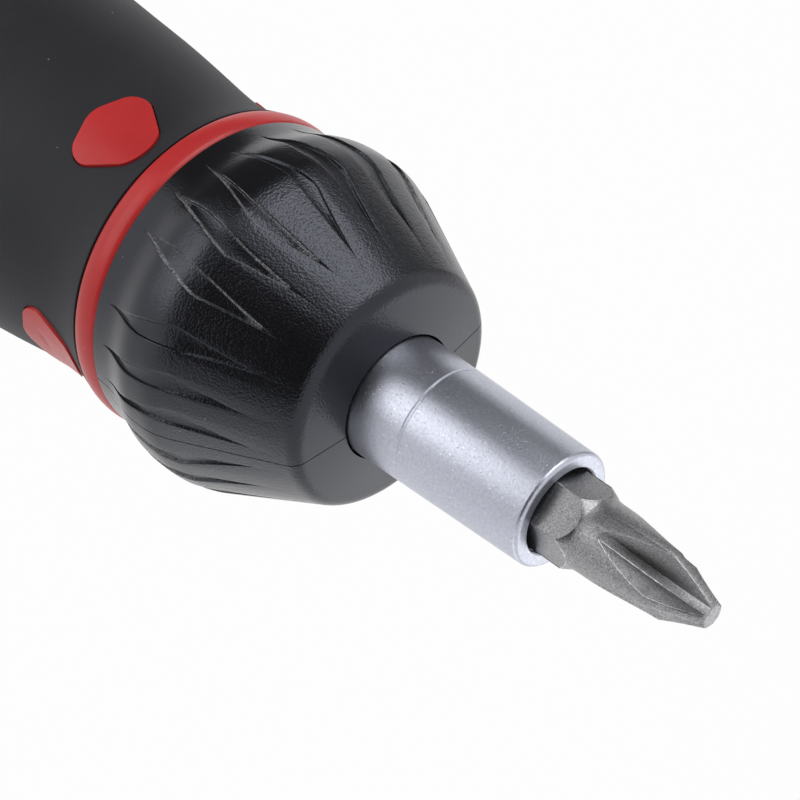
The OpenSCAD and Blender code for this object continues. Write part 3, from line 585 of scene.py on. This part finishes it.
def leafCutter(leaf):  # ribs across the leaf, bridged into one bar with a twisted floor
    near = [leaf["rear"], leaf["vertex"], leaf["front"]]
    far = [leaf["rear"], *leaf["side"], leaf["front"]]
    low, high = leaf["rear"][1], leaf["front"][1]
    ribs = leafCut["ribs"]
    bars = []
    for k in range(ribs + 1):
        t = k / ribs
        height = low + (high - low) * t
        z = ringBack + height * mm
        radius = radiusAt(collarLine, z)
        arcOf = math.pi / 180 * radius
        first, last = alongPath(near, height) * arcOf, alongPath(far, height) * arcOf
        width = max(last - first, 0.03 * mm)
        rear = hump(t, -0.5, 0.1, 0.72)  # weight of the rear half, then of the front half
        front = hump(t, 0.4, 0.85, 1.5)
        ends = min(1, leafCut["endShare"] + min(t, 1 - t) / leafCut["runShare"])
        nearDeep = (leafCut["shallow"] * rear + leafCut["deep"] * (1 - rear)) * ends
        farDeep = (leafCut["deep"] * (1 - front) + leafCut["shallow"] * front) * ends
        nearWall = min(leafCut["wall"] * rear + leafCut["step"] * (1 - rear),
                       width * (leafCut["thinShare"] + leafCut["wideShare"] * rear))
        farWall = min(leafCut["wall"] * front + leafCut["step"] * (1 - front),
                      width * (leafCut["thinShare"] + leafCut["wideShare"] * front))
        lip = min(leafCut["lip"], width * 0.1)
        profile = [(-lip * 2.6, lip * 9), (-lip * 1.3, lip * 0.22), (0, -lip * 0.12), (lip * 0.7, -lip * 0.5),
                   (nearWall, -lip * 0.5 - nearDeep * 0.92), (nearWall + lip, -lip * 0.5 - nearDeep),
                   ((nearWall + width - farWall) / 2, -lip * 0.5 - (nearDeep + farDeep) / 2),
                   (width - farWall - lip, -lip * 0.5 - farDeep),
                   (width - farWall, -lip * 0.5 - farDeep * 0.92), (width - lip * 0.7, -lip * 0.5),
                   (width, -lip * 0.12), (width + lip * 1.3, lip * 0.22), (width + lip * 2.6, lip * 9)]
        points = []
        for along, rise in profile:
            angle = (first + along) / radius
            out = Vector((math.sin(angle), -math.cos(angle), 0))
            points.append(out * (radius + rise) + Vector((0, 0, z)))
        bars.append(drawShape("rib", points))
        done()
    piece = joined(bars)
    edit(piece)
    bpy.ops.mesh.delete(type="ONLY_FACE")
    bpy.ops.mesh.select_all(action="SELECT")
    bpy.ops.mesh.bridge_edge_loops()
    bpy.ops.mesh.select_all(action="SELECT")
    bpy.ops.mesh.fill_holes(sides=len(profile))
    bpy.ops.mesh.normals_make_consistent(inside=False)
    done()
    return piece


# which faces are walls of a leaf cut that get the painted highlight: how far under the skin and off the bore,
# and between which slopes
wallMark = {"probe": 0.2 * mm, "under": 0.02 * mm, "clear": 0.1 * mm, "flat": 0.985, "flatFade": 0.06,
            "steep": 0.35, "steepFade": 0.2}


def markHighlightedWalls(piece):  # the walls on one side of each leaf cut have a coarser finish and a paler colour that is a painted highlight
    values = []
    probe = wallMark["probe"]
    for side in piece.data.polygons:
        x, y, z = side.center
        radius = math.hypot(x, y)
        lean = (radiusAt(collarLine, z + probe) - radiusAt(collarLine, z - probe)) / (2 * probe)
        out = Vector((x / radius, y / radius, -lean)).normalized()
        sunk = radiusAt(collarLine, z) - radius > wallMark["under"]
        sunk = sunk and z < face - mm and radius > collar["bore"] + wallMark["clear"]
        slope = side.normal.dot(out)
        turn = (math.degrees(math.atan2(x, -y)) - leafPlanes[0] + 45) % 90 - 45
        coarseAndHighlighted = sunk and slope > wallMark["steep"] and turn * leaves[0]["vertex"][0] < 0
        notFlat = max((wallMark["flat"] - slope) / wallMark["flatFade"], 0)
        notSteep = (slope - wallMark["steep"]) / wallMark["steepFade"]
        values.append(min(notFlat, notSteep, 1) if coarseAndHighlighted else 0.0)
    mask = piece.data.attributes.new("cutWallHighlight", "FLOAT", "FACE")
    mask.data.foreach_set("value", values)


def makeCollar():
    inside = [(collar["hole"], collarFront), (collar["hole"], collar["noseInside"]),
              (collar["bore"] * 0.6, collar["noseInside"]), (collar["bore"] * 0.6, collar["boreTop"]),
              (collar["bore"], collar["boreTop"]), (collar["bore"], collarBack)]
    piece = spin("selectorCollar", collarLine + inside + [collarLine[0]], steps=240)
    cutters = []
    for leaf in leaves:
        master = leafCutter(leaf)
        mirrored = copied(master)
        mirrored.scale.x = -1
        settle(mirrored)
        edit(mirrored)
        bpy.ops.mesh.normals_make_consistent(inside=False)
        done()
        for shape in (master, mirrored):
            for plane in leafPlanes:
                cutters.append(turned(copied(shape), plane))
            bpy.data.objects.remove(shape)
    combine(piece, joined(cutters), "DIFFERENCE")
    for seam in collar["seams"]:  # parting line of the mould
        skin = collarLine + [(collar["hole"] - 0.2 * mm, collarFront)]
        side, sink = -collar["seamWidth"] / 2, collar["seamDepth"]
        points = [Vector((side, -(r - sink), z - sink / 2)) for r, z in skin]
        points += [Vector((side, -(r + mm), z + mm)) for r, z in reversed(skin)]
        combine(piece, turned(pushOut("seam", points, (collar["seamWidth"], 0, 0)), seam), "DIFFERENCE")
    markHighlightedWalls(piece)
    smooth(piece, 22)
    return piece


place(makeCollar(), "selector", "collar_black", collarBlack, "selector_collar")

# the bit holder
sleeve = {"back": 122.34 * mm, "backRadius": 5.55 * mm, "frontRadius": 5.1 * mm, "grooveAt": 5.3 * mm,
          "grooveWidth": 0.4 * mm, "grooveDepth": 0.13 * mm, "mouthRound": 0.4 * mm, "mouthRadius": 3.82 * mm,
          "mouthEdge": 0.12 * mm, "mouthDepth": 1.7 * mm, "flats": 6.45 * mm, "socket": 10.1 * mm,
          "shank": 4.0 * mm, "shankBack": 85.0 * mm, "hexTurn": 4}


def makeHolder():
    at = collarFront + sleeve["grooveAt"]
    share = (at - collarFront) / (mouth - collarFront)
    r = sleeve["backRadius"] + (sleeve["frontRadius"] - sleeve["backRadius"]) * share
    w, d, soft = sleeve["grooveWidth"] / 2, sleeve["grooveDepth"], sleeve["mouthRound"]
    outer = [(sleeve["shank"], sleeve["shankBack"]), (sleeve["shank"], sleeve["back"]),
             (sleeve["backRadius"], sleeve["back"]), (sleeve["backRadius"], collarFront),
             (r, at - w), (r - d * 0.8, at - w * 0.6), (r - d, at), (r - d * 0.8, at + w * 0.6), (r, at + w)]
    outer += arc((sleeve["frontRadius"] - soft, mouth - soft), soft, 0, 90, 8)
    edge = sleeve["mouthEdge"]
    recess = [(sleeve["mouthRadius"] + edge, mouth), (sleeve["mouthRadius"], mouth - edge),
              (sleeve["mouthRadius"], mouth - sleeve["mouthDepth"])]
    piece = spin("bitHolder", onAxis(outer + recess))
    combine(piece, hexBar("socket", sleeve["flats"], mouth - sleeve["socket"], mouth + mm, sleeve["hexTurn"]),
            "DIFFERENCE")
    smooth(piece, 32)
    return piece


def makeClip():
    clip = {"inner": 3.75 * mm, "outer": 4.2 * mm, "thick": 0.4 * mm, "back": 0.85 * mm, "gap": 70,
            "edge": 0.06 * mm}
    low = mouth - clip["back"] - clip["thick"] / 2
    points = [(clip["inner"], low), (clip["outer"], low), (clip["outer"], low + clip["thick"]),
              (clip["inner"], low + clip["thick"])]
    piece = drawShape("bitClip", [Vector((0, -r, z)) for r, z in points])
    bpy.ops.mesh.spin(steps=56, angle=math.radians(360 - clip["gap"]), center=(0, 0, 0), axis=(0, 0, 1))
    bpy.ops.mesh.select_all(action="SELECT")
    bpy.ops.mesh.remove_doubles(threshold=0.0005 * mm)
    bpy.ops.mesh.normals_make_consistent(inside=False)
    done()
    turned(piece, 180 + clip["gap"] / 2)
    modify(piece, "BEVEL", width=clip["edge"], segments=2, limit_method="ANGLE", angle_limit=math.radians(50))
    smooth(piece, 35)
    return piece


place(makeHolder(), "spindle", "satin_chrome", satinChrome, "bit_holder")
place(makeClip(), "spindle", "spring_steel", inner["springSteel"], "bit_clip")

# the bit
bit = {"flats": 6.35 * mm, "hexOut": 2.45 * mm, "chamfer": 0.85 * mm, "blend": 0.95 * mm, "neck": 3.1 * mm,
       "blade": 3.04 * mm, "tipLength": 4.1 * mm, "tip": 1.25 * mm, "tipRound": 0.5 * mm, "wheel": 12.0 * mm,
       "core": 0.68 * mm, "low": 2.5 * mm, "floor": 0.32 * mm, "wallAngle": 42.5, "cut": 8 * mm,
       "hexTurn": 4, "fluteTurn": -7.5, "wear": 0.045 * mm, "blendSteps": 6}


def makeBit():
    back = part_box("screwdriver_bit")[0].z
    flat, corner = bit["flats"] / 2, bit["flats"] / math.sqrt(3)
    hexEnd = mouth + bit["hexOut"]
    blade = tip - bit["tipLength"]
    lean = math.degrees(math.atan2(bit["blade"] - bit["tip"], bit["tipLength"]))
    line = [(flat, back), (corner, back + corner - flat), (corner, hexEnd), (flat, hexEnd + bit["chamfer"])]
    steps = bit["blendSteps"]
    line += [(bit["neck"] + (flat - bit["neck"]) * (1 - k / steps) ** 2,
              hexEnd + bit["chamfer"] + bit["blend"] * k / steps) for k in range(1, steps + 1)]
    line += [(bit["blade"], blade)]
    line += arc((bit["tip"] - bit["tipRound"], tip - bit["tipRound"]), bit["tipRound"], lean, 90, 5)
    piece = spin("screwdriverBit", onAxis(line), steps=144)
    combine(piece, hexBar("hex", bit["flats"], back - mm, tip + mm, bit["hexTurn"]), "INTERSECT")
    reach = bit["core"] + bit["wheel"]
    flank = bit["floor"] + bit["cut"] * math.tan(math.radians(bit["wallAngle"]))
    wheelLine = [(bit["wheel"] - bit["cut"], -flank), (bit["wheel"], -bit["floor"]),
                 (bit["wheel"], bit["floor"]), (bit["wheel"] - bit["cut"], flank)]
    for k in range(4):
        wheel = spin("wheel", onAxis(wheelLine), steps=360)
        wheel.rotation_euler.y = math.pi / 2
        settle(wheel)
        wheel.location = (0, -reach, tip - bit["low"])
        settle(wheel)
        combine(piece, turned(wheel, bit["hexTurn"] + bit["fluteTurn"] + 90 * k), "DIFFERENCE")
    marks = [bpy.data.materials.new(name) for name in ("plain", "highlightedEdge")]
    for mark in marks:  # the bevel gives its faces the second one, which becomes the mask of the bevelled edges and their painted highlight
        piece.data.materials.append(mark)
    modify(piece, "BEVEL", width=bit["wear"], segments=2, limit_method="ANGLE", angle_limit=math.radians(28),
           use_clamp_overlap=False, material=1)
    edgeHighlight = piece.data.attributes.new("edgeHighlight", "FLOAT", "FACE")
    edgeHighlight.data.foreach_set("value", [float(side.material_index) for side in piece.data.polygons])
    piece.data.materials.clear()
    for mark in marks:
        bpy.data.materials.remove(mark)
    smooth(piece, 32)
    return piece


place(makeBit(), "bit", "bit_steel", bitSteel, "screwdriver_bit")

# what is sealed inside keeps its construction and gets its metal
insides = {
    "housingSteel": ("ratchet_housing", "housing_pins", "cover_plate", "pawl_pins", "detent_ball",
                     "rear_washer", "gear_washer", "front_washer", "cam_ring", "pawl_right", "pawl_left",
                     "ratchet_gear"),
    "springSteel": ("cover_screws", "pawl_springs", "detent_spring", "collar_snap_ring", "gear_key",
                    "spindle_circlip"),
    "bronze": ("rear_bush", "front_bush"), "magnetNickel": ("socket_magnet",)}
for look, names in insides.items():
    for name in names:
        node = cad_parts[name]
        node.data.materials.clear()
        node.data.materials.append(inner[look])
print("inner pieces dressed")

# floor, lamps, world and camera
studio = {"floorSize": 3.0, "floorColour": (0.86, 0.86, 0.87), "floorGlow": 0.97, "world": 0.4}


def makeFloor():
    clearSelection()
    bpy.ops.mesh.primitive_plane_add(size=studio["floorSize"])
    floor = bpy.context.active_object
    floor.name = "floor"
    material = bpy.data.materials.new("paleFloor")
    material.use_nodes = True
    wiring = Wiring(material.node_tree)
    material.node_tree.nodes.clear()
    paint = wiring.add("ShaderNodeBsdfDiffuse", {"Color": (*studio["floorColour"], 1)})
    glow = wiring.add("ShaderNodeEmission", {"Color": (1, 1, 1, 1), "Strength": 1.0})
    path = wiring.add("ShaderNodeLightPath")
    seen = wiring.calc("MAXIMUM", path.outputs["Is Camera Ray"], path.outputs["Is Glossy Ray"])
    seen = wiring.calc("MAXIMUM", seen, path.outputs["Is Transmission Ray"])
    mix = wiring.add("ShaderNodeMixShader", {0: wiring.calc("MULTIPLY", seen, studio["floorGlow"])})
    wiring.link(paint.outputs[0], mix.inputs[1])
    wiring.link(glow.outputs[0], mix.inputs[2])
    end = wiring.add("ShaderNodeOutputMaterial")
    wiring.link(mix.outputs[0], end.inputs["Surface"])
    floor.data.materials.append(material)


middle = Vector((0, 0, (collarBack + collarFront) / 2))
lamps = {  # degrees round the tool and above level, seen from the collar, then distance, size and brightness
    "softboxFront": {"around": 8, "above": -30, "far": 0.19, "size": (0.14, 0.09), "level": 1.6},
    "softboxLeft": {"around": -55, "above": 9, "far": 0.42, "size": (0.28, 0.17), "level": 3.4},
    "softboxRight": {"around": 115, "above": -2, "far": 0.5, "size": (0.5, 0.26), "level": 0.6},
    "softboxBack": {"around": 180, "above": 36, "far": 0.6, "size": (0.6, 0.4), "level": 0.7},
    "overhead": {"around": 20, "above": 75, "far": 0.7, "size": (0.5, 0.5), "level": 0.6}}
cards = {  # dark cards that only reflections show: degrees round the tool, distance and height of both edges
    "cardSide": {"around": (-100, -27), "near": 0.03, "far": 0.45, "low": 0.002, "high": 0.045, "level": 0.1},
    "cardBack": {"around": (-140, -75), "near": 0.35, "far": 0.35, "low": 0.045, "high": 0.19, "level": 0.36},
    "cardFront": {"around": (-20, 58), "near": 0.3, "far": 0.3, "low": 0.092, "high": 0.42, "level": 0.05}}


def standBy(piece, look):  # sets a lamp round the collar, facing it
    around, above = math.radians(look["around"]), math.radians(look["above"])
    out = Vector((math.sin(around) * math.cos(above), -math.cos(around) * math.cos(above), math.sin(above)))
    piece.location = middle + out * look["far"]
    piece.rotation_euler = (-out).to_track_quat("-Z", "Y").to_euler()


def makeLamps():
    for name, lamp in lamps.items():
        data = bpy.data.lights.new(name, "AREA")
        data.shape = "RECTANGLE"
        data.size, data.size_y = lamp["size"]
        data.energy = lamp["level"] * math.pi * data.size * data.size_y
        light = bpy.data.objects.new(name, data)
        bpy.context.scene.collection.objects.link(light)
        light.visible_camera = False
        light.visible_glossy = name != "overhead"
        standBy(light, lamp)


cardSteps = 12


def makeCards():
    for name, look in cards.items():
        first, last = look["around"]
        turns = [math.radians(first + (last - first) * k / cardSteps) for k in range(cardSteps + 1)]
        outward = [Vector((math.sin(a), -math.cos(a), 0)) for a in turns]
        card = drawLine(name, [out * look["near"] + Vector((0, 0, look["low"])) for out in outward])
        bpy.ops.mesh.select_all(action="SELECT")
        bpy.ops.mesh.extrude_region_move(TRANSFORM_OT_translate={"value": (0, 0, look["high"] - look["low"])})
        spread = look["far"] / look["near"]
        bpy.ops.transform.resize(value=(spread, spread, 1), center_override=(0, 0, look["high"]))
        done()
        material = bpy.data.materials.new(name)
        material.use_nodes = True
        wiring = Wiring(material.node_tree)
        material.node_tree.nodes.clear()
        glow = wiring.add("ShaderNodeEmission", {"Color": (1, 1, 1, 1), "Strength": look["level"]})
        end = wiring.add("ShaderNodeOutputMaterial")
        wiring.link(glow.outputs[0], end.inputs["Surface"])
        card.data.materials.append(material)
        card.visible_camera = card.visible_diffuse = card.visible_shadow = card.visible_transmission = False


def makeWorld():
    world = bpy.data.worlds.new("studio")
    bpy.context.scene.world = world
    world.use_nodes = True
    wiring = Wiring(world.node_tree)
    world.node_tree.nodes.clear()
    path = wiring.add("ShaderNodeLightPath")
    soft = wiring.add("ShaderNodeBackground", {"Color": (1, 1, 1, 1), "Strength": studio["world"]})
    white = wiring.add("ShaderNodeBackground", {"Color": (1, 1, 1, 1), "Strength": 1.0})
    seen = wiring.calc("MAXIMUM", path.outputs["Is Camera Ray"], path.outputs["Is Glossy Ray"])
    mix = wiring.add("ShaderNodeMixShader", {0: seen})
    wiring.link(soft.outputs[0], mix.inputs[1])
    wiring.link(white.outputs[0], mix.inputs[2])
    end = wiring.add("ShaderNodeOutputWorld")
    wiring.link(mix.outputs[0], end.inputs["Surface"])


view = {"at": (0, -149.89 * mm, 223.15 * mm), "turn": (-41.858, -43.7997, 142.283), "lens": 99, "sensor": 36}


def makeCamera():
    data = bpy.data.cameras.new("camera")
    data.lens, data.sensor_width = view["lens"], view["sensor"]
    data.clip_start = 0.01
    camera = bpy.data.objects.new("camera", data)
    bpy.context.scene.collection.objects.link(camera)
    camera.location = view["at"]
    camera.rotation_euler = [math.radians(a) for a in view["turn"]]
    bpy.context.scene.camera = camera


makeFloor()
makeLamps()
makeCards()
makeWorld()
makeCamera()
bpy.context.scene.view_settings.view_transform = "Standard"
print("studio ready")
